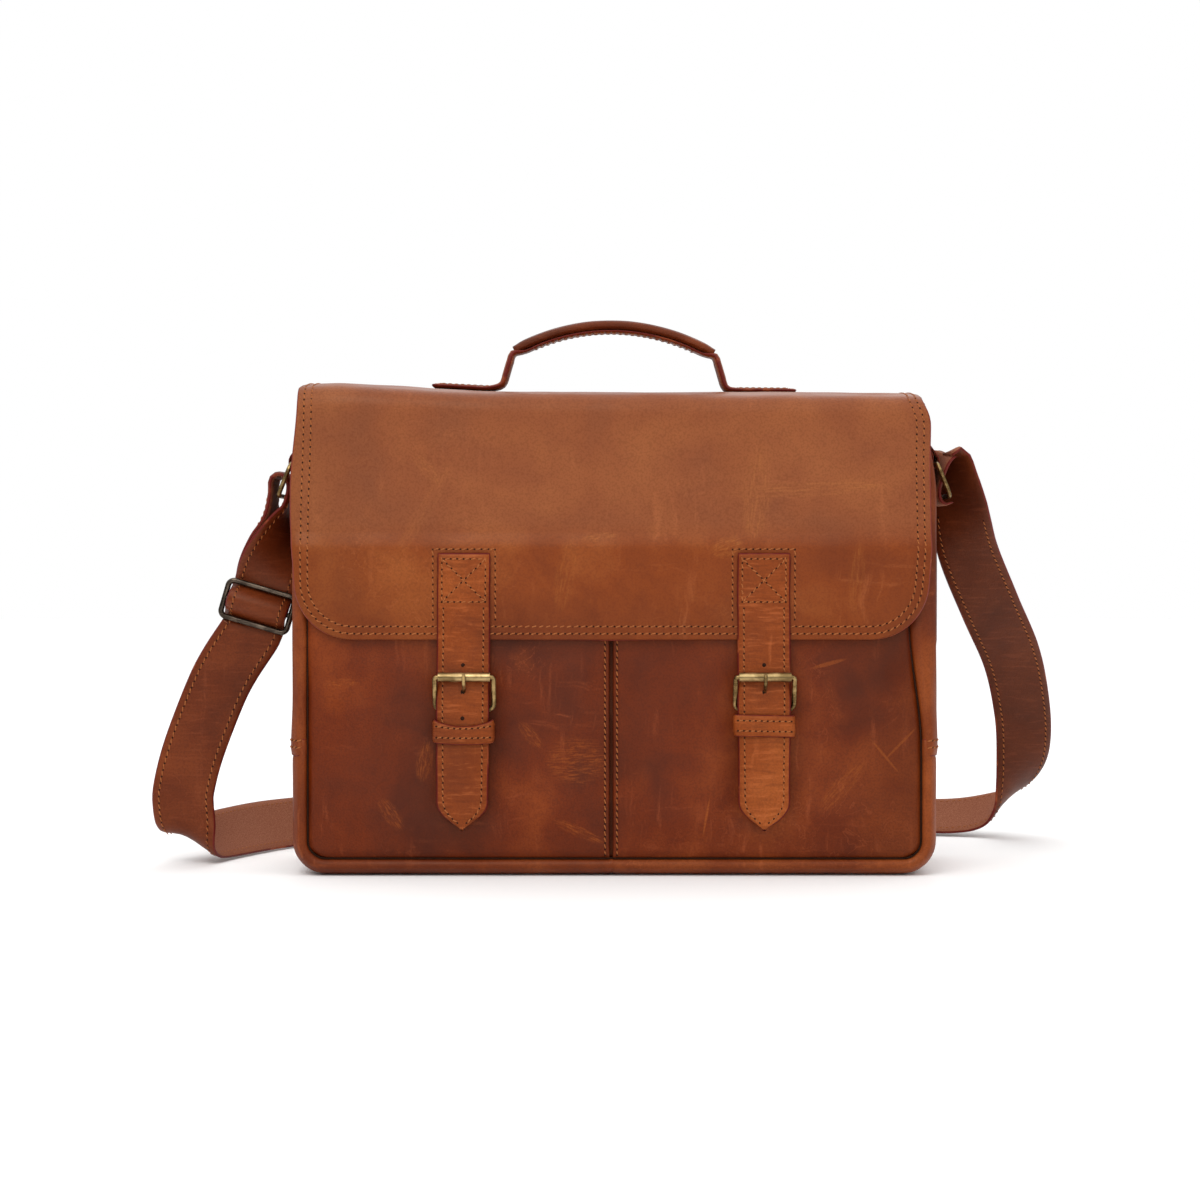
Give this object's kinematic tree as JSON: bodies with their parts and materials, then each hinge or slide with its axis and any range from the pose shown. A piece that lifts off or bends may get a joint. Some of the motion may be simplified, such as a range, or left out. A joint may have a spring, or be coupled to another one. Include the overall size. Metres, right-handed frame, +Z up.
{
  "type": "leather briefcase",
  "caption": "Leather briefcase with a buckled flap, front pockets, top handle and adjustable shoulder strap.",
  "frame": {"origin": "centre of the flat base, on the floor", "axes": "+X along the bag's length to the viewer's right, -Y towards the front with the pockets, +Z up"},
  "size_m": [0.603, 0.2807, 0.3499],
  "materials": {
    "flap_leather": "waxed pull-up leather, warm mid brown, satin",
    "body_leather": "waxed pull-up leather, darker red brown, scuffed",
    "strap_leather": "waxed strap leather with dark red painted edges",
    "lining_fabric": "tan cotton twill lining",
    "divider_fabric": "padded cotton twill",
    "stiffener_board": "fibre board",
    "handle_cord": "cotton filler cord",
    "antique_brass": "antique brass, brushed, darkened in recesses",
    "slider_bronze": "dark bronze plated steel"
  },
  "bodies": {
    "body": {"gusset_bottom": "body_leather", "gusset_side_left": "body_leather", "gusset_side_right": "body_leather", "front_panel": "body_leather", "back_panel": "body_leather", "pocket_panel_left": "body_leather", "pocket_panel_right": "body_leather", "base_board": "stiffener_board", "lining_gusset": "lining_fabric", "lining_front": "lining_fabric", "lining_back": "lining_fabric", "laptop_divider": "divider_fabric", "snap_socket_left": "antique_brass", "snap_socket_right": "antique_brass", "snap_washer_left": "antique_brass", "snap_washer_right": "antique_brass", "ring_tab_left": "strap_leather", "ring_tab_right": "strap_leather", "shoulder_strap": "strap_leather"},
    "flap": {"flap_leather": "flap_leather", "flap_lining": "lining_fabric", "top_board": "stiffener_board", "flap_patch_left": "strap_leather", "flap_patch_right": "strap_leather", "handle_tab_left": "strap_leather", "handle_tab_right": "strap_leather", "closure_strap_left": "strap_leather", "closure_strap_right": "strap_leather", "buckle_chape_left": "strap_leather", "buckle_chape_right": "strap_leather", "snap_stud_left": "antique_brass", "snap_stud_right": "antique_brass"},
    "handle": {"handle_strap": "strap_leather", "handle_core": "handle_cord", "handle_grip": "strap_leather"},
    "buckle_left": {"buckle_frame_left": "antique_brass"},
    "roller_left": {"buckle_roller_left": "antique_brass"},
    "prong_left": {"buckle_prong_left": "antique_brass"},
    "keeper_left": {"keeper_left": "strap_leather"},
    "ring_left": {"ring_left": "antique_brass"},
    "buckle_right": {"buckle_frame_right": "antique_brass"},
    "roller_right": {"buckle_roller_right": "antique_brass"},
    "prong_right": {"buckle_prong_right": "antique_brass"},
    "keeper_right": {"keeper_right": "strap_leather"},
    "ring_right": {"ring_right": "antique_brass"},
    "slider": {"strap_slider": "slider_bronze"}
  },
  "joints": [
    {"name": "flap_hinge", "type": "hinge", "parent": "body", "child": "flap", "pos_m": [0, 0.05315, 0.29783], "axis": [-1, 0, 0], "range_deg": [0, 110]},
    {"name": "handle_flex", "type": "hinge", "parent": "flap", "child": "handle", "pos_m": [0, 0, 0.311], "axis": [1, 0, 0], "range_deg": [-20, 20], "stiffness_Nm_per_rad": 0.3},
    {"name": "buckle_lift_left", "type": "hinge", "parent": "flap", "child": "buckle_left", "pos_m": [-0.0928, -0.0612, 0.1042], "axis": [1, 0, 0], "range_deg": [0, 3]},
    {"name": "roller_spin_left", "type": "hinge", "parent": "buckle_left", "child": "roller_left", "pos_m": [-0.0928, -0.06875, 0.1247], "axis": [1, 0, 0], "continuous": true},
    {"name": "prong_swing_left", "type": "hinge", "parent": "buckle_left", "child": "prong_left", "pos_m": [-0.0928, -0.0612, 0.1042], "axis": [1, 0, 0], "range_deg": [0, 4]},
    {"name": "keeper_slide_left", "type": "slide", "parent": "flap", "child": "keeper_left", "axis": [0, 0, 1], "range_m": [-0.0105, 0.0035]},
    {"name": "buckle_lift_right", "type": "hinge", "parent": "flap", "child": "buckle_right", "pos_m": [0.0928, -0.0612, 0.1042], "axis": [1, 0, 0], "range_deg": [0, 3]},
    {"name": "roller_spin_right", "type": "hinge", "parent": "buckle_right", "child": "roller_right", "pos_m": [0.0928, -0.06875, 0.1247], "axis": [1, 0, 0], "continuous": true},
    {"name": "prong_swing_right", "type": "hinge", "parent": "buckle_right", "child": "prong_right", "pos_m": [0.0928, -0.0612, 0.1042], "axis": [1, 0, 0], "range_deg": [0, 4]},
    {"name": "keeper_slide_right", "type": "slide", "parent": "flap", "child": "keeper_right", "axis": [0, 0, 1], "range_m": [-0.014, 0]},
    {"name": "ring_swing_left", "type": "hinge", "parent": "body", "child": "ring_left", "pos_m": [-0.2049, 0, 0.258], "axis": [0, 1, 0], "range_deg": [-15, 60], "deforming": ["shoulder_strap"]},
    {"name": "ring_swing_right", "type": "hinge", "parent": "body", "child": "ring_right", "pos_m": [0.2049, 0, 0.258], "axis": [0, -1, 0], "range_deg": [-15, 60], "deforming": ["shoulder_strap"]},
    {"name": "slider_shift", "type": "slide", "parent": "body", "child": "slider", "axis": [0.2823, 0, 0.9593], "range_m": [-0.01, 0.003], "deforming": ["shoulder_strap"]}
  ]
}
